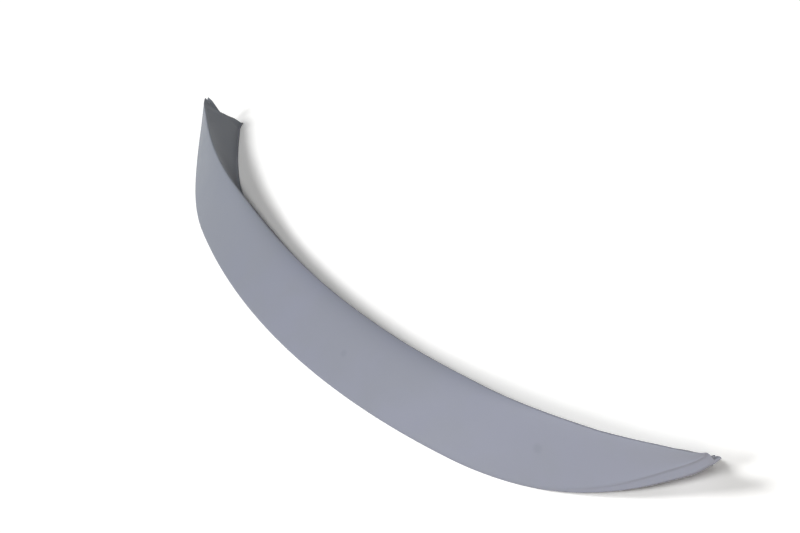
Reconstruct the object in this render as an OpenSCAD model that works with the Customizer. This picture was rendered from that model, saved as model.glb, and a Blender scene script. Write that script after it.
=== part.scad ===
// Rear roof spoiler for a car, one moulded shell in grey primer.
// It sits over the top of the rear window: +Y is the rear of the car, +Z is up.
// The underside lies on Z = 0, and the origin is the middle of its footprint.
// Lengths are in millimetres and angles are in degrees.

/* [Plan of the front edge] */
// Width over the two tips
overall_w = 1150; // [1050:5:1250]
// Radius of the long middle sweep
middle_r = 1315; // [1150:5:1600]
// Radius of the bend at each front corner
corner_r = 460; // [380:5:520]
// Angle that each front corner turns through
corner_turn = 30; // [25:0.5:32]
// Length of the straight run behind each corner
side_run = 36; // [24:2:60]
// Radius of the curl at each tip
tip_r = 68; // [56:2:110]
// Angle that each tip curls through
tip_turn = 29.5; // [20:0.5:32]

/* [Top face] */
// Depth of the top face at the middle, from front edge to ridge
band_depth = 94; // [84:0.5:106]
// How fast the top face narrows, where a higher figure keeps it wide for longer
band_taper = 2.85; // [2.4:0.05:3.3]
// How bluntly the top face ends at the tips, where a lower figure is blunter
band_blunt = 0.93; // [0.8:0.01:1.1]
// Height of the ridge at the middle
ridge_h = 34.5; // [30:0.5:40]
// Height that the ridge gains from the middle to the shoulders
ridge_rise = 25.5; // [16:0.5:29]
// Slope at which it climbs on from the shoulders to the ends
tail_slope = 0.066; // [0.03:0.003:0.09]
// Distance along the front edge from the middle to where the ridge starts to rise
rise_start = 145; // [100:5:200]
// Distance along the front edge from the middle to the shoulders
shoulder_run = 510; // [460:5:540]
// Height that the top face bulges above a straight line
crown = 4; // [1:0.5:6]
// How close to the ridge the top face turns over, where a higher figure is closer
turn_over = 8; // [4:1:12]
// Radius on the edge of the ridge
ridge_edge_r = 3; // [2:0.5:4]

/* [Front edge and side facet] */
// Height of the front edge at the middle
lip_h = 3; // [2.5:0.5:5]
// Height of the outer facet beside the tips
facet_h = 13.5; // [10:0.5:16]
// Angle by which the facet leans in from upright
facet_lean = 25; // [10:1:35]
// Height of each tip above the ground
tip_lift = 59; // [52:1:62]
// Distance along the front edge over which the tip lifts
lift_run = 254; // [210:2:280]
// How late the tip lifts, where a higher figure keeps the edge low for longer
lift_curve = 2.4; // [1.9:0.1:2.8]

/* [Rear wall] */
// Reach of the toe behind the ridge at the middle
toe_reach = 8; // [7:0.5:12]
// Extra reach of the toe at the tips
toe_flare = 38; // [30:0.5:42]
// How gently the toe starts to spread, where a lower figure is more sudden
toe_ease = 0.06; // [0.02:0.01:0.12]
// Width of the ledge along the toe
toe_ledge = 2; // [1:0.5:3]
// Height of the upright edge along the toe
toe_edge_h = 3; // [2:0.5:4]
// How full the rear wall is at the middle, where 0.5 is round and less is hollow
middle_fullness = 0.1; // [0:0.02:0.3]
// How full the rear wall is at the tips, on the same scale
tip_fullness = 0.62; // [0.4:0.02:0.7]
// Distance by which the end of the toe runs past the tip
toe_overrun = 16; // [8:1:20]
// Depth of the notch in the end edge, just inside the tip
end_notch = 7.5; // [0:0.5:10]
// Distance from the tip to the blunt end of the ridge
ridge_stop = 13; // [10:1:18]

/* [Inside] */
// Wall thickness
wall = 3; // [2.5:0.25:4]
// Width of the flat bonding land behind the front edge
land_w = 14; // [10:1:18]
// Width of the flat bonding land along the toe
toe_land_w = 9; // [8:0.5:10]
// Thickness of the cross ribs
rib_t = 2.5; // [2:0.25:3.5]
// Distance from one rib to the next
rib_pitch = 100; // [80:5:105]
// Gap between the ribs and the surface that the spoiler is bonded to
rib_recess = 2; // [1:0.5:4]
// Length of each solid tip
tip_solid = 60; // [45:5:80]

/* [Hidden] */

// Number of sections along half of the spoiler
half_sections = 32;
// Number of steps across the top face and down the rear wall
top_steps = 9;
rear_steps = 7;
edge_steps = 3;
// Number of steps beyond the blunt end of the ridge
end_steps = 6;
under_steps = top_steps + rear_steps + edge_steps + 2;
// Distance that the cavity cutter reaches below the underside
cut_below = 5;
// Length over which the ridge drops at its blunt end
stop_run = 7;
// Height of the blade that is left between there and the tip
blade_h = 3.2;
// Length near each tip over which the end edge turns out of square
skew_run = 70;
// Thickness that the front edge and the tips run out to
edge_t = 0.8;
// Depth at which the notch in the end edge starts
notch_from = 8;
// Share of the tip's lift over which the facet grows to its height
facet_from = 0.15;
facet_to = 0.89;
// Most of the depth of the top face that the front bonding land takes
land_share = 0.35;
primer_grey = [0.58, 0.60, 0.63];

// The front edge is four tangent pieces on each side: middle arc, corner arc,
// straight run and tip arc. The half angle of the middle arc comes from the width.
turn_1 = corner_turn;
turn_2 = corner_turn + tip_turn;
reach_a = middle_r + corner_r * (cos(turn_1) - 1) - side_run * sin(turn_1)
    + tip_r * (cos(turn_2) - cos(turn_1));
reach_b = corner_r * sin(turn_1) + side_run * cos(turn_1)
    + tip_r * (sin(turn_2) - sin(turn_1));
middle_turn = asin(overall_w / 2 / norm([reach_a, reach_b])) - atan2(reach_b, reach_a);

function arc_length(r, turn) = r * turn * PI / 180;

middle_run = arc_length(middle_r, middle_turn);
corner_end = middle_run + arc_length(corner_r, corner_turn);
side_end = corner_end + side_run;
half_run = side_end + arc_length(tip_r, tip_turn);

// Point on an arc that starts at p with heading a, after running a distance d
function along_arc(p, a, r, d) =
    let (b = a + d / r * 180 / PI)
    [p[0] + r * (sin(b) - sin(a)), p[1] + r * (cos(a) - cos(b)), b];

corner_start = along_arc([0, 0], 0, middle_r, middle_run);
side_start = along_arc(corner_start, corner_start[2], corner_r, corner_end - middle_run);
tip_start = [
    side_start[0] + side_run * cos(side_start[2]),
    side_start[1] + side_run * sin(side_start[2]),
    side_start[2]
];

// Front edge as [x, y, heading] at a distance d from the middle, on the +X side
function front_half(d) =
    d <= middle_run ? along_arc([0, 0], 0, middle_r, d) :
    d <= corner_end ? along_arc(corner_start, corner_start[2], corner_r, d - middle_run) :
    d <= side_end ? [
        side_start[0] + (d - corner_end) * cos(side_start[2]),
        side_start[1] + (d - corner_end) * sin(side_start[2]),
        side_start[2]
    ] :
    along_arc(tip_start, tip_start[2], tip_r, d - side_end);

function clamp(v) = max(0, min(1, v));
function smooth(v) = let (c = clamp(v)) c * c * (3 - 2 * c);
function mix(a, b, k) = a + (b - a) * k;

// How far the tip has begun, from 0 at the corner to 1 at the tip
function tip_part(d) = clamp((d - half_run + lift_run) / lift_run);

// Laws along the spoiler, each at a distance d from the middle
function edge_lift(d) = tip_lift * pow(tip_part(d), lift_curve);
function stop_part(d) = smooth((d - half_run + ridge_stop) / stop_run);
function facet(d) = mix(
    mix(lip_h, facet_h, smooth((tip_part(d) - facet_from) / (facet_to - facet_from))),
    mix(blade_h, 2 * edge_t, clamp((d - half_run + ridge_stop - stop_run) / (ridge_stop - stop_run))),
    stop_part(d)
);
function depth(d) = band_depth * pow(max(0, 1 - pow(d / half_run, band_taper)), band_blunt);
function open_ridge(d) =
    ridge_h + ridge_rise * smooth((d - rise_start) / (shoulder_run - rise_start))
    + tail_slope * max(0, d - shoulder_run);
function crease_a(d) = facet(d) * tan(facet_lean);
function crease_z(d) = edge_lift(d) + facet(d);
function ridge_a(d) = max(mix(depth(d), 0, stop_part(d)), crease_a(d) + edge_t);
function ridge_z(d) = mix(open_ridge(d), crease_z(d), stop_part(d));
function ridge_r(d) = min(ridge_edge_r, (ridge_a(d) - crease_a(d)) / 5);
function band_end(d) = ridge_a(d) - ridge_r(d);
function toe_a(d) = let (t = tip_part(d)) depth(d) + toe_reach + toe_flare * t * t / (t + toe_ease);
function foot_a(d) = toe_a(d) - toe_ledge;
function inner_foot(d) = toe_a(d) - toe_land_w;

// The rear wall is hollow at the middle and grows full towards the tips
function fullness(d) = mix(middle_fullness, tip_fullness, smooth(tip_part(d)));

// Point at a share w along a curve from p down to q, full by f
function bend(p, q, f, w) =
    let (c = [mix(p[0], q[0], f), mix(q[1], p[1], f)])
    p * (1 - w) * (1 - w) + c * 2 * w * (1 - w) + q * w * w;

// Bulge of the top face, as a share of its peak, at a share v of the way to the ridge
bulge_peak = pow(turn_over, -1 / (turn_over - 1)) * (1 - 1 / turn_over);
function bulge(v) = (v - pow(v, turn_over)) / bulge_peak;

// Height of the top face at a share v of the way from the crease to the rounded ridge
function top_z(d, v) =
    mix(crease_z(d), ridge_z(d), v)
    + crown * bulge(v) * clamp((ridge_a(d) - crease_a(d)) / band_depth);

// Outside of a section, from the front edge over the ridge to the toe, as [depth, height]
function outside(d) =
    let (ca = crease_a(d), ra = ridge_a(d), rz = ridge_z(d), er = ridge_r(d))
    concat(
        [[0, edge_lift(d) + edge_t]],
        [for (i = [0:top_steps]) [mix(ca, band_end(d), i / top_steps), top_z(d, i / top_steps)]],
        [for (i = [1:edge_steps]) let (b = 90 * i / edge_steps) [ra - er + er * sin(b), rz - er + er * cos(b)]],
        [for (i = [1:rear_steps]) bend([ra, rz - er], [foot_a(d), toe_edge_h], fullness(d), i / rear_steps)],
        [[toe_a(d), toe_edge_h]]
    );

// Underside of the same section, from the front edge to the toe
function underside(d) =
    concat(
        [for (i = [0:under_steps - 1])
            bend([0, edge_lift(d)], [inner_foot(d), 0], fullness(d), i / (under_steps - 1))],
        [[toe_a(d), 0]]
    );

// Space under the shell: its roof follows the top face and the rear wall, one wall in
function front_foot(d) = min(land_w, land_share * depth(d));
function cavity_roof(d) =
    let (
        ra = ridge_a(d) - wall,
        slope = (ridge_z(d) - crease_z(d)) / (ridge_a(d) - crease_a(d)),
        drop = wall * norm([1, slope])
    )
    concat(
        [for (i = [0:top_steps]) let (a = mix(front_foot(d), ra, i / top_steps))
            [a, top_z(d, min(1, (a - crease_a(d)) / (band_end(d) - crease_a(d)))) - drop]],
        [for (i = [1:rear_steps])
            bend([ra, ridge_z(d) - drop], [inner_foot(d), 0], fullness(d), i / rear_steps)]
    );
function cavity_floor(d) =
    let (n = top_steps + rear_steps)
    [for (i = [0:n]) let (a = mix(front_foot(d), inner_foot(d), i / n))
        [a, edge_lift(d) * (1 - a / inner_foot(d)) - cut_below]];

// The end edge is not square: it steps back beside the tip and the toe runs past it
toe_span = toe_a(half_run);
function end_skew(d, a) =
    pow(clamp((d - half_run + skew_run) / skew_run), 2)
    * lookup(a, [
        [notch_from, 0],
        [2 * notch_from, -end_notch],
        [0.5 * toe_span, -end_notch],
        [0.65 * toe_span, -0.1 * end_notch],
        [0.82 * toe_span, 0.55 * toe_overrun],
        [toe_span, toe_overrun]
    ]);

// Place a section point [a, z] of the section at the signed distance s
function placed(s, p) =
    let (f = front_half(abs(s)), k = end_skew(abs(s), p[0]))
    [
        sign(s) * (f[0] - p[0] * sin(f[2]) + k * cos(f[2])),
        f[1] + p[0] * cos(f[2]) + k * sin(f[2]) - footprint_y / 2,
        p[1]
    ];

// Depth of the whole footprint, from the front edge to the end of the toe
footprint_y = let (f = front_half(half_run))
    f[1] + toe_a(half_run) * cos(f[2]) + toe_overrun * sin(f[2]);

// Sections are closer together towards the tips
function station(i, n, run) = let (t = i / n) run * t * (1.4 - 0.4 * t * t);

// Signed distance of each section of the body, with close ones beyond the end of the ridge
body_half = concat(
    [for (i = [1:half_sections]) station(i, half_sections, half_run - ridge_stop)],
    [for (i = [1:end_steps]) half_run - ridge_stop * (1 - i / end_steps)]
);
body_stations = concat(-reversed(body_half), [0], body_half);

function reversed(list) = [for (i = [len(list) - 1:-1:0]) list[i]];

// Solid through rings of points that all have the same count, closed at both ends
module loft(rings) {
    n = len(rings[0]);
    m = len(rings);
    half = n / 2;
    polyhedron(
        points = [for (ring = rings) for (p = ring) p],
        faces = concat(
            [for (j = [0:m - 2]) for (i = [0:n - 1]) [j * n + i, j * n + (i + 1) % n, (j + 1) * n + i]],
            [for (j = [0:m - 2]) for (i = [0:n - 1])
                [j * n + (i + 1) % n, (j + 1) * n + (i + 1) % n, (j + 1) * n + i]],
            [for (i = [0:half - 2]) [i, n - 1 - i, i + 1]],
            [for (i = [0:half - 2]) [i + 1, n - 1 - i, n - 2 - i]],
            [for (i = [0:half - 2]) [(m - 1) * n + i, (m - 1) * n + i + 1, m * n - 1 - i]],
            [for (i = [0:half - 2]) [(m - 1) * n + i + 1, m * n - 2 - i, m * n - 1 - i]]
        ),
        convexity = 8
    );
}

module moulded_body() {
    loft([for (s = body_stations)
        [for (p = concat(outside(abs(s)), reversed(underside(abs(s))))) placed(s, p)]]);
}

module cavity() {
    loft([for (i = [-half_sections:half_sections])
        let (s = station(i, half_sections, half_run - tip_solid))
        [for (p = concat(cavity_roof(abs(s)), reversed(cavity_floor(abs(s))))) placed(s, p)]]);
}

module cross_ribs() {
    count = floor((overall_w / 2 - tip_solid) / rib_pitch);
    for (i = [-count:count])
        translate([i * rib_pitch - rib_t / 2, -footprint_y, rib_recess])
            cube([rib_t, 2 * footprint_y, 2 * (ridge_h + ridge_rise)]);
}

module spoiler_shell() {
    color(primer_grey)
        difference() {
            moulded_body();
            difference() {
                cavity();
                cross_ribs();
            }
        }
}

spoiler_shell();
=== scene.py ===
# Rear roof spoiler in grey primer on a white studio floor, in metres
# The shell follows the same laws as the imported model, in finer steps and with small radii.

import math

import bmesh
import bpy
from mathutils import Matrix, Vector


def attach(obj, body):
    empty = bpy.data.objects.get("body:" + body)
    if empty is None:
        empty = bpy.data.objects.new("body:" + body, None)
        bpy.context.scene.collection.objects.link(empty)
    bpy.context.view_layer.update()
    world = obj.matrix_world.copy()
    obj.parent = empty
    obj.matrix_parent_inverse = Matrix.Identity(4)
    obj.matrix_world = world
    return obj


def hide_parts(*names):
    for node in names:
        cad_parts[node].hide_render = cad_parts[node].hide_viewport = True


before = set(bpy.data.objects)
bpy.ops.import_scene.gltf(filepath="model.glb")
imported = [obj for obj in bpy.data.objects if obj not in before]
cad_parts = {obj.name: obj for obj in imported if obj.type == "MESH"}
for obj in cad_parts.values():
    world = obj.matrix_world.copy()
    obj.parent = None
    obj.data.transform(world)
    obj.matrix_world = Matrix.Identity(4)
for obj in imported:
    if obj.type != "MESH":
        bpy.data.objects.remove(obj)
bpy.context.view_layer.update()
print("frame loaded:", sorted(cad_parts))

# What sets the shape of the shell
shellShape = {
    "overallWidth": 1.150,
    "middleRadius": 1.315,
    "cornerRadius": 0.460,
    "cornerTurn": 30.0,  # degrees
    "sideRun": 0.036,
    "tipRadius": 0.068,
    "tipTurn": 29.5,  # degrees
    "bandDepth": 0.094,
    "bandTaper": 2.85,
    "bandBlunt": 0.93,
    "ridgeHeight": 0.0345,
    "ridgeRise": 0.0255,
    "tailSlope": 0.066,
    "riseStart": 0.145,
    "shoulderRun": 0.510,
    "crown": 0.004,
    "turnOver": 8.0,
    "ridgeEdgeRadius": 0.003,
    "lipHeight": 0.003,
    "facetHeight": 0.0135,
    "facetLean": 25.0,  # degrees
    "facetFrom": 0.15,
    "facetTo": 0.89,
    "tipLift": 0.059,
    "liftRun": 0.254,
    "liftCurve": 2.4,
    "toeReach": 0.008,
    "toeFlare": 0.038,
    "toeEase": 0.06,
    "toeLedge": 0.002,
    "toeEdgeHeight": 0.003,
    "middleFullness": 0.1,
    "tipFullness": 0.62,
    "toeOverrun": 0.016,
    "endNotch": 0.0075,
    "notchFrom": 0.008,
    "skewRun": 0.070,
    "ridgeStop": 0.013,
    "stopRun": 0.007,
    "bladeHeight": 0.0032,
    "edgeThickness": 0.0008,
    "wall": 0.003,
    "landWidth": 0.014,
    "landShare": 0.35,
    "toeLandWidth": 0.009,
    "ribThickness": 0.0025,
    "ribPitch": 0.100,
    "ribRecess": 0.002,
    "tipSolid": 0.060,
    "creaseRadius": 0.0016,
    "tipCreaseRadius": 0.0006,  # beside the tips
    "creaseStep": 0.0021,  # beside the tips the top face ends in a small step above the facet
    "creaseGrowth": (1.6, 0.3),  # how fast and how late these forms of the crease grow
    "creaseDip": 0.0010,  # shallow hollow just above the crease, beside the tips
    "creaseDipWidth": 0.024,
    "lipRadius": 0.0013,
    "lipStep": 0.0019,  # the lower edge steps in by this much beside the tips
    "lipGrowth": (2.4, 0.5),  # how fast and how late that step grows
    "lipStepPlace": 0.14,  # share of the facet below the step
    # how far up, as a share of that place, and how far in, as a share of the step
    "lipStepCurve": ((0.4, 1.0), (0.7, 0.9), (0.85, 0.5), (1.0, 0.1), (1.3, 0.0)),
    "toeCornerRadius": 0.0008,
    "sharpAngle": 32.0,  # degrees; an edge that turns less is shaded smooth
}

# How finely the shell is cut up
shellSteps = {
    "along": 150,
    "alongEnd": 22,
    "topFace": 26,
    "ridgeEdge": 8,
    "rearWall": 22,
    "smallEdge": 4,
}


def clamp(v):
    return max(0.0, min(1.0, v))


def smooth(v):
    c = clamp(v)
    return c * c * (3 - 2 * c)


def mix(a, b, k):
    return a + (b - a) * k


def alongArc(start, radius, d):
    x, y, heading = start
    turned = heading + d / radius
    return (
        x + radius * (math.sin(turned) - math.sin(heading)),
        y + radius * (math.cos(heading) - math.cos(turned)),
        turned,
    )


class FrontEdge:
    # The front edge on the +X side: middle arc, corner arc, straight run and tip arc
    def __init__(self, shape):
        self.middleRadius = shape["middleRadius"]
        self.cornerRadius = shape["cornerRadius"]
        self.sideRun = shape["sideRun"]
        self.tipRadius = shape["tipRadius"]
        turnOne = math.radians(shape["cornerTurn"])
        turnTwo = turnOne + math.radians(shape["tipTurn"])
        reachA = (self.middleRadius + self.cornerRadius * (math.cos(turnOne) - 1)
                  - self.sideRun * math.sin(turnOne)
                  + self.tipRadius * (math.cos(turnTwo) - math.cos(turnOne)))
        reachB = (self.cornerRadius * math.sin(turnOne) + self.sideRun * math.cos(turnOne)
                  + self.tipRadius * (math.sin(turnTwo) - math.sin(turnOne)))
        middleTurn = (math.asin(shape["overallWidth"] / 2 / math.hypot(reachA, reachB))
                      - math.atan2(reachB, reachA))
        self.middleRun = self.middleRadius * middleTurn
        self.cornerEnd = self.middleRun + self.cornerRadius * turnOne
        self.sideEnd = self.cornerEnd + self.sideRun
        self.halfRun = self.sideEnd + self.tipRadius * (turnTwo - turnOne)
        self.cornerStart = alongArc((0, 0, 0), self.middleRadius, self.middleRun)
        cornerRun = self.cornerEnd - self.middleRun
        self.sideStart = alongArc(self.cornerStart, self.cornerRadius, cornerRun)
        self.tipStart = self.alongSide(self.sideRun)

    def alongSide(self, d):
        x, y, heading = self.sideStart
        return (x + d * math.cos(heading), y + d * math.sin(heading), heading)

    def at(self, d):
        if d <= self.middleRun:
            return alongArc((0, 0, 0), self.middleRadius, d)
        if d <= self.cornerEnd:
            return alongArc(self.cornerStart, self.cornerRadius, d - self.middleRun)
        if d <= self.sideEnd:
            return self.alongSide(d - self.cornerEnd)
        return alongArc(self.tipStart, self.tipRadius, d - self.sideEnd)


frontEdge = FrontEdge(shellShape)
halfRun = frontEdge.halfRun


def sectionAt(d, shape=shellShape):
    # Every height and depth of the section at a distance d from the middle
    s = {}
    tipPart = clamp((d - halfRun + shape["liftRun"]) / shape["liftRun"])
    stopPart = smooth((d - halfRun + shape["ridgeStop"]) / shape["stopRun"])
    grown = smooth((tipPart - shape["facetFrom"]) / (shape["facetTo"] - shape["facetFrom"]))
    bladeRun = shape["ridgeStop"] - shape["stopRun"]
    thinned = clamp((d - halfRun + bladeRun) / bladeRun)
    blade = mix(shape["bladeHeight"], 2 * shape["edgeThickness"], thinned)
    facet = mix(mix(shape["lipHeight"], shape["facetHeight"], grown), blade, stopPart)
    s["tipPart"] = tipPart
    s["open"] = 1 - stopPart
    fast, late = shape["creaseGrowth"]
    s["dressed"] = smooth(tipPart * fast - late) * s["open"]
    s["lift"] = shape["tipLift"] * tipPart ** shape["liftCurve"]
    narrowed = max(0.0, 1 - (d / halfRun) ** shape["bandTaper"])
    s["depth"] = shape["bandDepth"] * narrowed ** shape["bandBlunt"]
    risen = smooth((d - shape["riseStart"]) / (shape["shoulderRun"] - shape["riseStart"]))
    openRidge = (shape["ridgeHeight"] + shape["ridgeRise"] * risen
                 + shape["tailSlope"] * max(0.0, d - shape["shoulderRun"]))
    s["facet"] = facet
    s["creaseA"] = facet * math.tan(math.radians(shape["facetLean"]))
    s["creaseZ"] = s["lift"] + facet
    s["ridgeA"] = max(mix(s["depth"], 0.0, stopPart), s["creaseA"] + shape["edgeThickness"])
    s["ridgeZ"] = mix(openRidge, s["creaseZ"], stopPart)
    s["ridgeRadius"] = min(shape["ridgeEdgeRadius"], (s["ridgeA"] - s["creaseA"]) / 5)
    s["bandEnd"] = s["ridgeA"] - s["ridgeRadius"]
    flared = tipPart ** 2 / (tipPart + shape["toeEase"])
    s["toeA"] = s["depth"] + shape["toeReach"] + shape["toeFlare"] * flared
    s["footA"] = s["toeA"] - shape["toeLedge"]
    s["innerFoot"] = s["toeA"] - shape["toeLandWidth"]
    s["fullness"] = mix(shape["middleFullness"], shape["tipFullness"], smooth(tipPart))
    return s


def bend(p, q, fullness, w):
    # Point at a share w along a curve from p down to q
    c = (mix(p[0], q[0], fullness), mix(q[1], p[1], fullness))
    return curvePoint(p, c, q, w)


def curvePoint(p, c, q, w):
    return tuple(p[i] * (1 - w) ** 2 + c[i] * 2 * w * (1 - w) + q[i] * w * w for i in (0, 1))


def topHeight(s, v, shape=shellShape):
    n = shape["turnOver"]
    peak = n ** (-1 / (n - 1)) * (1 - 1 / n)
    bulge = (v - max(v, 0.0) ** n) / peak
    return (mix(s["creaseZ"], s["ridgeZ"], v)
            + shape["crown"] * bulge * clamp((s["ridgeA"] - s["creaseA"]) / shape["bandDepth"]))


def dippedHeight(s, v, shape=shellShape):
    # The top face with the shallow hollow above the crease, which fades out away from the tips
    past = v * (s["bandEnd"] - s["creaseA"])
    width = min(shape["creaseDipWidth"], 0.8 * (s["bandEnd"] - s["creaseA"]))
    u = clamp(past / width)
    dip = 6.75 * u * (1 - u) ** 2  # deepest, 1, at a third of the width
    return topHeight(s, v) - shape["creaseDip"] * s["dressed"] * dip


def outsideOf(s, shape=shellShape, steps=shellSteps):
    # Outside of a section, from the front edge over the ridge to the toe, as (depth, height)
    crease = (s["creaseA"], s["creaseZ"])
    lowest = (0.0, s["lift"])
    facetRun = math.dist(lowest, crease)
    rise = (crease[0] / facetRun, s["facet"] / facetRun)  # along the facet, one long
    lipCut = min(shape["lipRadius"], 0.4 * facetRun)
    fast, late = shape["lipGrowth"]
    inset = shape["lipStep"] * smooth(s["tipPart"] * fast - late) * s["open"]

    def onFacet(share, inward):
        # Point on the facet, moved inward at a right angle to it
        depth = crease[0] * share + rise[1] * inward
        return (depth, lowest[1] + s["facet"] * share - rise[0] * inward)

    s["lipStart"] = undersideShare(s, lipCut + inset)
    lipFrom = bend(lowest, (s["innerFoot"], 0.0), s["fullness"], s["lipStart"])
    lipCorner = bend(lowest, (s["innerFoot"], 0.0), s["fullness"], undersideShare(s, inset))
    lipEnd = onFacet(lipCut / facetRun, inset)
    topRun = s["bandEnd"] - s["creaseA"]
    radius = mix(shape["creaseRadius"], shape["tipCreaseRadius"], s["dressed"])
    cut = min(radius, 0.4 * facetRun, 0.3 * topRun)
    facetEnd = 1 - min(shape["creaseRadius"], 0.4 * facetRun) / facetRun
    fillet = 0.05 * facetRun
    step = min(shape["creaseStep"] * s["dressed"], 0.3 * facetRun)
    steep = (mix(rise[0], 0.0, s["dressed"]), mix(rise[1], 1.0, s["dressed"]))

    def belowCrease(distance):
        # Down the facet, or straight down where the step is
        return (crease[0] - steep[0] * distance, crease[1] - steep[1] * distance)

    first = belowCrease(cut)
    v = cut / topRun
    last = (mix(s["creaseA"], s["bandEnd"], v), dippedHeight(s, v))
    points = []
    for i in range(1, steps["smallEdge"] + 1):
        points.append(curvePoint(lipFrom, lipCorner, lipEnd, i / steps["smallEdge"]))
    for above, inward in shape["lipStepCurve"]:
        share = mix(lipCut / facetRun, facetEnd, above * shape["lipStepPlace"])
        points.append(onFacet(share, inset * inward))
    stepFoot = belowCrease(cut + step + fillet)
    k = fillet / math.dist(stepFoot, points[-1])
    footEnd = tuple(mix(stepFoot[i], points[-1][i], k) for i in (0, 1))
    for w in (0.0, 0.5, 1.0):
        points.append(curvePoint(footEnd, stepFoot, belowCrease(cut + (step + fillet) / 2), w))
    for i in range(steps["smallEdge"] + 1):
        points.append(curvePoint(first, crease, last, i / steps["smallEdge"]))
    for i in range(1, steps["topFace"] + 1):
        # closer together towards both edges, where the face turns
        u = mix(v, 1.0, (1 - math.cos(i / steps["topFace"] * math.pi)) / 2)
        points.append((mix(s["creaseA"], s["bandEnd"], u), dippedHeight(s, u)))
    r = s["ridgeRadius"]
    for i in range(1, steps["ridgeEdge"] + 1):
        b = math.pi / 2 * i / steps["ridgeEdge"]
        points.append((s["ridgeA"] - r + r * math.sin(b), s["ridgeZ"] - r + r * math.cos(b)))
    wallTop = (s["ridgeA"], s["ridgeZ"] - r)
    wallFoot = (s["footA"], shape["toeEdgeHeight"])
    for i in range(1, steps["rearWall"] + 1):
        points.append(bend(wallTop, wallFoot, s["fullness"], i / steps["rearWall"]))
    c = shape["toeCornerRadius"]
    for i in range(steps["smallEdge"] + 1):
        b = math.pi / 2 * i / steps["smallEdge"]
        toeHeight = shape["toeEdgeHeight"] - c + c * math.cos(b)
        points.append((s["toeA"] - c + c * math.sin(b), toeHeight))
    return points


def undersideShare(s, depthIn):
    # Share of the way along the underside at which it is depthIn behind the front edge
    low, high = 0.0, 1.0
    for i in range(30):
        middle = (low + high) / 2
        if bend((0.0, s["lift"]), (s["innerFoot"], 0.0), s["fullness"], middle)[0] < depthIn:
            low = middle
        else:
            high = middle
    return low


def undersideOf(s, count):
    # Underside of the same section, from the rounded lip to the toe
    points = []
    for i in range(count - 1):
        w = mix(s["lipStart"], 1.0, i / (count - 2))
        points.append(bend((0.0, s["lift"]), (s["innerFoot"], 0.0), s["fullness"], w))
    points.append((s["toeA"], 0.0))
    return points


def cavityOf(s, shape=shellShape, steps=shellSteps):
    # Hollow under the shell: its roof runs one wall inside the outer face
    ra = s["ridgeA"] - shape["wall"]
    slope = (s["ridgeZ"] - s["creaseZ"]) / (s["ridgeA"] - s["creaseA"])
    drop = shape["wall"] * math.hypot(1, slope)
    frontFoot = min(shape["landWidth"], shape["landShare"] * s["depth"])
    roof = []
    for i in range(steps["topFace"] + 1):
        a = mix(frontFoot, ra, i / steps["topFace"])
        v = min(1.0, (a - s["creaseA"]) / (s["bandEnd"] - s["creaseA"]))
        roof.append((a, topHeight(s, v) - drop))
    for i in range(1, steps["rearWall"] + 1):
        w = i / steps["rearWall"]
        roof.append(bend((ra, s["ridgeZ"] - drop), (s["innerFoot"], 0.0), s["fullness"], w))
    n = len(roof) - 1
    below = 0.005  # past the underside, so that the hollow is open below
    floor = []
    for i in range(n + 1):
        a = mix(frontFoot, s["innerFoot"], i / n)
        floor.append((a, s["lift"] * (1 - a / s["innerFoot"]) - below))
    return roof, floor


endSection = sectionAt(halfRun)
endPlace = frontEdge.at(halfRun)
footprintDepth = (endPlace[1] + endSection["toeA"] * math.cos(endPlace[2])
                  + shellShape["toeOverrun"] * math.sin(endPlace[2]))


def endSkew(d, a, shape=shellShape):
    # The end edge steps back beside the tip, and the toe runs past it
    span = endSection["toeA"]
    profile = [
        (shape["notchFrom"], 0.0),
        (2 * shape["notchFrom"], -shape["endNotch"]),
        (0.5 * span, -shape["endNotch"]),
        (0.65 * span, -0.1 * shape["endNotch"]),
        (0.82 * span, 0.55 * shape["toeOverrun"]),
        (span, shape["toeOverrun"]),
    ]
    reach = clamp((d - halfRun + shape["skewRun"]) / shape["skewRun"]) ** 2
    if a <= profile[0][0]:
        return reach * profile[0][1]
    for (a0, k0), (a1, k1) in zip(profile, profile[1:]):
        if a <= a1:
            return reach * mix(k0, k1, (a - a0) / (a1 - a0))
    return reach * profile[-1][1]


def placed(distance, point):
    # A section point in the shared frame, at a signed distance from the middle
    d = abs(distance)
    side = 1 if distance >= 0 else -1
    x, y, heading = frontEdge.at(d)
    k = endSkew(d, point[0])
    return (
        side * (x - point[0] * math.sin(heading) + k * math.cos(heading)),
        y + point[0] * math.cos(heading) + k * math.sin(heading) - footprintDepth / 2,
        point[1],
    )


def stationsTo(run, count):
    # Signed distances from one end to the other, closer together towards the ends
    half = []
    for i in range(1, count + 1):
        t = i / count
        half.append(run * t * (1.4 - 0.4 * t * t))
    return half


def loftedMesh(name, rings):
    # Closed solid through rings of points that all have the same count
    count = len(rings[0])
    last = (len(rings) - 1) * count
    verts = [p for ring in rings for p in ring]
    faces = []
    for j in range(len(rings) - 1):
        for i in range(count):
            n = (i + 1) % count
            faces.append((j * count + i, (j + 1) * count + i, (j + 1) * count + n, j * count + n))
    for i in range(count // 2 - 1):
        faces.append((i, i + 1, count - 2 - i, count - 1 - i))
        faces.append((last + i, last + count - 1 - i, last + count - 2 - i, last + i + 1))
    mesh = bpy.data.meshes.new(name)
    mesh.from_pydata(verts, [], faces)
    mesh.validate()
    bm = bmesh.new()
    bm.from_mesh(mesh)
    bmesh.ops.recalc_face_normals(bm, faces=bm.faces)
    bm.to_mesh(mesh)
    bm.free()
    return mesh


def newObject(name, mesh):
    obj = bpy.data.objects.new(name, mesh)
    bpy.context.scene.collection.objects.link(obj)
    return obj


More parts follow.
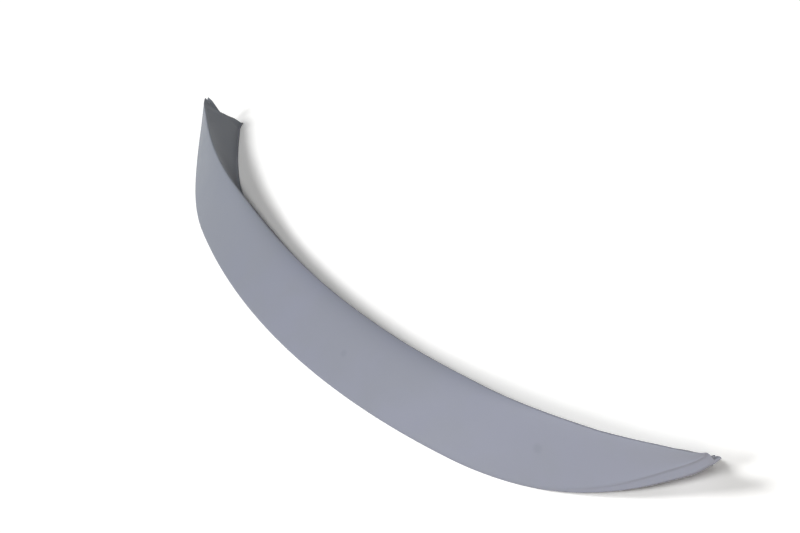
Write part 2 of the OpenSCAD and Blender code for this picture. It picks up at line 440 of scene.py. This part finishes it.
def cutAway(obj, cutter):
    cut = obj.modifiers.new("cut", "BOOLEAN")
    cut.operation = "DIFFERENCE"
    cut.solver = "EXACT"
    cut.object = cutter
    bpy.context.view_layer.update()
    graph = bpy.context.evaluated_depsgraph_get()
    mesh = bpy.data.meshes.new_from_object(obj.evaluated_get(graph))
    obj.modifiers.remove(cut)
    obj.data = mesh
    bpy.data.objects.remove(cutter)


def makeShell():
    steps = shellSteps
    half = stationsTo(halfRun - shellShape["ridgeStop"], steps["along"])
    for i in range(1, steps["alongEnd"] + 1):
        half.append(halfRun - shellShape["ridgeStop"] * (1 - i / steps["alongEnd"]))
    distances = [-d for d in reversed(half)] + [0.0] + half
    rings = []
    for distance in distances:
        s = sectionAt(abs(distance))
        outside = outsideOf(s)
        underside = undersideOf(s, len(outside))
        rings.append([placed(distance, p) for p in outside + underside[::-1]])
    shell = newObject("spoiler_shell_primed", loftedMesh("shellSkin", rings))

    half = stationsTo(halfRun - shellShape["tipSolid"], steps["along"])
    distances = [-d for d in reversed(half)] + [0.0] + half
    rings = []
    for distance in distances:
        roof, floor = cavityOf(sectionAt(abs(distance)))
        rings.append([placed(distance, p) for p in roof + floor[::-1]])
    hollow = newObject("hollow", loftedMesh("hollow", rings))

    ribs = bmesh.new()
    count = int((shellShape["overallWidth"] / 2 - shellShape["tipSolid"]) / shellShape["ribPitch"])
    tall = 0.2  # well past the roof of the hollow
    for i in range(-count, count + 1):
        middle = (i * shellShape["ribPitch"], 0, shellShape["ribRecess"] + tall / 2)
        size = (shellShape["ribThickness"], 2 * footprintDepth, tall, 1)
        place = Matrix.Translation(middle) @ Matrix.Diagonal(size)
        bmesh.ops.create_cube(ribs, size=1, matrix=place)
    ribMesh = bpy.data.meshes.new("ribs")
    ribs.to_mesh(ribMesh)
    ribs.free()
    cutAway(hollow, newObject("ribs", ribMesh))
    cutAway(shell, hollow)
    return shell


shell = makeShell()
print("shell:", len(shell.data.vertices), "points,", len(shell.data.polygons), "faces")


# Grey primer over moulded plastic: colours in linear light
primerLook = {
    "colour": (0.222, 0.240, 0.275, 1),  # towards -X, darker and less blue: painted shade at that end
    "paintedLitEndColour": (0.252, 0.265, 0.326, 1),  # towards +X, lighter and bluer: painted light at that end
    "paintedShadeRun": (-0.5, 0.0),  # X over which the painted shade fades from the one colour to the other
    "warmColour": (0.243, 0.257, 0.290, 1),  # mottle
    "warmShare": 0.4,
    "mottleScale": 14.0,
    "mottleEdge": (0.4, 0.6),  # how soft the mottle is
    "roughness": 0.5,
    "roughSpread": (-0.05, 0.07),
    "glossScale": 30.0,
    "sheen": 0.20,  # specular level
    "peelScale": 420.0,
    "peelHeight": 0.00006,
    "waveScale": 9.0,
    "waveHeight": 0.0003,
    # faint smudges: X, Y, Z and size
    "marks": ((0.1035, -0.0761, 0.019, 0.0070), (0.4114, -0.0126, 0.0325, 0.0080)),
    "markCore": 0.25,  # share of the size that is darkest
    "markStrength": 0.11,
    "markColour": (0.10, 0.11, 0.13, 1),
}


def addNode(tree, kind, **inputs):
    node = tree.nodes.new(kind)
    for key, value in inputs.items():
        node.inputs[key].default_value = value
    return node


def noiseNode(tree, place, **inputs):
    node = addNode(tree, "ShaderNodeTexNoise", **inputs)
    tree.links.new(place, node.inputs["Vector"])
    return node.outputs["Fac"]


def rangeNode(tree, value, start, end, kind="LINEAR"):
    # Brings a value from one range, start, to another, end
    node = tree.nodes.new("ShaderNodeMapRange")
    node.interpolation_type = kind
    node.inputs["From Min"].default_value, node.inputs["From Max"].default_value = start
    node.inputs["To Min"].default_value, node.inputs["To Max"].default_value = end
    tree.links.new(value, node.inputs["Value"])
    return node.outputs["Result"]


def laidOver(tree, share, under, colour):
    # A colour laid over another by share
    node = tree.nodes.new("ShaderNodeMix")
    node.data_type = "RGBA"
    node.inputs["B"].default_value = colour
    tree.links.new(share, node.inputs["Factor"])
    if isinstance(under, tuple):
        node.inputs["A"].default_value = under
    else:
        tree.links.new(under, node.inputs["A"])
    return node.outputs["Result"]


def bumpNode(tree, height, distance, normal=None):
    node = addNode(tree, "ShaderNodeBump", Strength=1.0, Distance=distance)
    tree.links.new(height, node.inputs["Height"])
    if normal:
        tree.links.new(normal, node.inputs["Normal"])
    return node.outputs["Normal"]


def seenRay(tree):
    # 1 where the camera or a reflection looks at a surface, 0 where it only gives light
    ray = tree.nodes.new("ShaderNodeLightPath")
    seen = ray.outputs["Is Camera Ray"]
    for other in ("Is Glossy Ray", "Is Transmission Ray"):
        either = tree.nodes.new("ShaderNodeMath")
        either.operation = "MAXIMUM"
        tree.links.new(seen, either.inputs[0])
        tree.links.new(ray.outputs[other], either.inputs[1])
        seen = either.outputs[0]
    return seen


def primerMaterial(look=primerLook):
    material = bpy.data.materials.new("greyPrimer")
    material.use_nodes = True
    tree = material.node_tree
    shader = tree.nodes["Principled BSDF"]
    shader.inputs["Specular IOR Level"].default_value = look["sheen"]
    place = tree.nodes.new("ShaderNodeTexCoord").outputs["Object"]

    # painted shade: the colour grows lighter and bluer from -X to +X, standing in for how the light
    # falls along the length, under a warm mottle
    axes = tree.nodes.new("ShaderNodeSeparateXYZ")
    tree.links.new(place, axes.inputs[0])
    along = rangeNode(tree, axes.outputs["X"], look["paintedShadeRun"], (0.0, 1.0))
    coatAndPaintedShade = laidOver(tree, along, look["colour"], look["paintedLitEndColour"])
    mottle = noiseNode(tree, place, Scale=look["mottleScale"], Detail=4.0, Roughness=0.55)
    warm = rangeNode(tree, mottle, look["mottleEdge"], (0.0, look["warmShare"]))
    coatAndPaintedShade = laidOver(tree, warm, coatAndPaintedShade, look["warmColour"])
    for x, y, z, size in look["marks"]:
        away = tree.nodes.new("ShaderNodeVectorMath")
        away.operation = "DISTANCE"
        away.inputs[1].default_value = (x, y, z)
        tree.links.new(place, away.inputs[0])
        fade = rangeNode(tree, away.outputs["Value"], (look["markCore"] * size, size),
                         (look["markStrength"], 0.0), "SMOOTHSTEP")
        coatAndPaintedShade = laidOver(tree, fade, coatAndPaintedShade, look["markColour"])
    tree.links.new(coatAndPaintedShade, shader.inputs["Base Color"])

    # sprayed coat: uneven gloss, a fine peel and long low waves
    gloss = noiseNode(tree, place, Scale=look["glossScale"], Detail=3.0)
    rough = rangeNode(tree, gloss, (0.0, 1.0), [look["roughness"] + v for v in look["roughSpread"]])
    tree.links.new(rough, shader.inputs["Roughness"])
    wave = noiseNode(tree, place, Scale=look["waveScale"], Detail=1.0)
    peel = noiseNode(tree, place, Scale=look["peelScale"], Detail=2.0)
    bump = bumpNode(tree, peel, look["peelHeight"], bumpNode(tree, wave, look["waveHeight"]))
    tree.links.new(bump, shader.inputs["Normal"])
    return material


def dressShell(obj):
    obj.data.materials.clear()
    obj.data.materials.append(primerMaterial())
    obj.data.shade_smooth()
    obj.data.set_sharp_from_angle(angle=math.radians(shellShape["sharpAngle"]))
    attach(obj, "root")
    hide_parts("spoiler_shell")


dressShell(shell)
print("primer on the shell")


# White studio floor that keeps the soft shadow, and looks a little brighter than it lights
floorLook = {
    "size": 12.0,
    "drop": 0.0002,  # just below the foot of the spoiler
    "colour": (0.86, 0.84, 0.79, 1),
    "seenColour": (1.15, 1.15, 1.14, 1),
}


def makeFloor(look=floorLook):
    bm = bmesh.new()
    bmesh.ops.create_grid(bm, x_segments=1, y_segments=1, size=look["size"] / 2)
    mesh = bpy.data.meshes.new("studioFloor")
    bm.to_mesh(mesh)
    bm.free()
    obj = newObject("studio_floor", mesh)
    obj.location.z = -look["drop"]
    material = bpy.data.materials.new("floorPaper")
    material.use_nodes = True
    tree = material.node_tree
    tree.nodes.clear()
    out = tree.nodes.new("ShaderNodeOutputMaterial")
    paper = addNode(tree, "ShaderNodeBsdfDiffuse", Color=look["colour"])
    seenPaper = addNode(tree, "ShaderNodeBsdfDiffuse", Color=look["seenColour"])
    shown = tree.nodes.new("ShaderNodeMixShader")
    tree.links.new(seenRay(tree), shown.inputs[0])
    tree.links.new(paper.outputs[0], shown.inputs[1])
    tree.links.new(seenPaper.outputs[0], shown.inputs[2])
    tree.links.new(shown.outputs[0], out.inputs["Surface"])
    mesh.materials.append(material)


makeFloor()

# Three soft boxes around the front, a weak low one at the +X tip, and a little room light
studioLight = {
    # name: azimuth and height in degrees, share of the light on the floor, spread in degrees
    "leftBox": (-38, 49, 0.39, 17),
    "frontBox": (2, 46, 0.21, 11),
    "rightBox": (54, 61, 0.28, 14),
    "room": 0.03,
    "lowBoxPlace": (1.32, -0.15, 0.13),
    "lowBoxAim": (0.56, 0.04, 0.04),
    "lowBoxPower": 1.8,  # watts
    "lowBoxSize": 0.22,
    "lowBoxColour": (1.0, 0.87, 0.70),
}


def lightStudio(light=studioLight):
    for name in ("leftBox", "frontBox", "rightBox"):
        azimuth, height, share, spread = light[name]
        az = math.radians(azimuth)
        el = math.radians(height)
        box = bpy.data.lights.new(name, "SUN")
        box.energy = share * math.pi / math.sin(el)
        box.angle = math.radians(spread)
        obj = newObject(name, box)
        towards = Vector((math.sin(az) * math.cos(el), -math.cos(az) * math.cos(el), math.sin(el)))
        obj.rotation_euler = towards.to_track_quat("Z", "Y").to_euler()
    # the low warm box lights the outer facet
    low = bpy.data.lights.new("lowBox", "AREA")
    low.energy = light["lowBoxPower"]
    low.size = light["lowBoxSize"]
    low.color = light["lowBoxColour"]
    lowObj = newObject("lowBox", low)
    lowObj.location = light["lowBoxPlace"]
    away = Vector(light["lowBoxPlace"]) - Vector(light["lowBoxAim"])
    lowObj.rotation_euler = away.to_track_quat("Z", "Y").to_euler()
    world = bpy.data.worlds.new("whiteRoom")
    bpy.context.scene.world = world
    world.use_nodes = True
    tree = world.node_tree
    tree.nodes.clear()
    out = tree.nodes.new("ShaderNodeOutputWorld")
    room = addNode(tree, "ShaderNodeBackground", Strength=light["room"])
    white = addNode(tree, "ShaderNodeBackground", Strength=1.0)
    room.inputs["Color"].default_value = (1, 1, 1, 1)
    white.inputs["Color"].default_value = (1, 1, 1, 1)
    choice = tree.nodes.new("ShaderNodeMixShader")
    tree.links.new(seenRay(tree), choice.inputs[0])
    tree.links.new(room.outputs[0], choice.inputs[1])
    tree.links.new(white.outputs[0], choice.inputs[2])
    tree.links.new(choice.outputs[0], out.inputs["Surface"])


lightStudio()
print("floor and light ready")

# Camera, high over the +X tip and looking back along the spoiler
cameraPlace = {
    "azimuth": 67.448,  # degrees
    "elevation": 40.230,
    "roll": -20.635,
    "position": (1.02966, -0.34485, 0.93293),
    "lens": 46.435,  # mm, on a sensor 36 mm wide
}


def makeCamera(place=cameraPlace):
    az, el, roll = (math.radians(place[k]) for k in ("azimuth", "elevation", "roll"))
    back = Vector((math.sin(az) * math.cos(el), -math.cos(az) * math.cos(el), math.sin(el)))
    right = Vector((math.cos(az), math.sin(az), 0))
    up = back.cross(right)
    turnedRight = math.cos(roll) * right + math.sin(roll) * up
    turnedUp = -math.sin(roll) * right + math.cos(roll) * up
    data = bpy.data.cameras.new("photoCamera")
    data.sensor_width = 36
    data.lens = place["lens"]
    data.clip_start = 0.01
    data.clip_end = 50
    obj = newObject("photoCamera", data)
    turn = Matrix((turnedRight, turnedUp, back)).transposed().to_4x4()
    obj.matrix_world = Matrix.Translation(place["position"]) @ turn
    bpy.context.scene.camera = obj


makeCamera()
bpy.context.scene.view_settings.view_transform = "Standard"
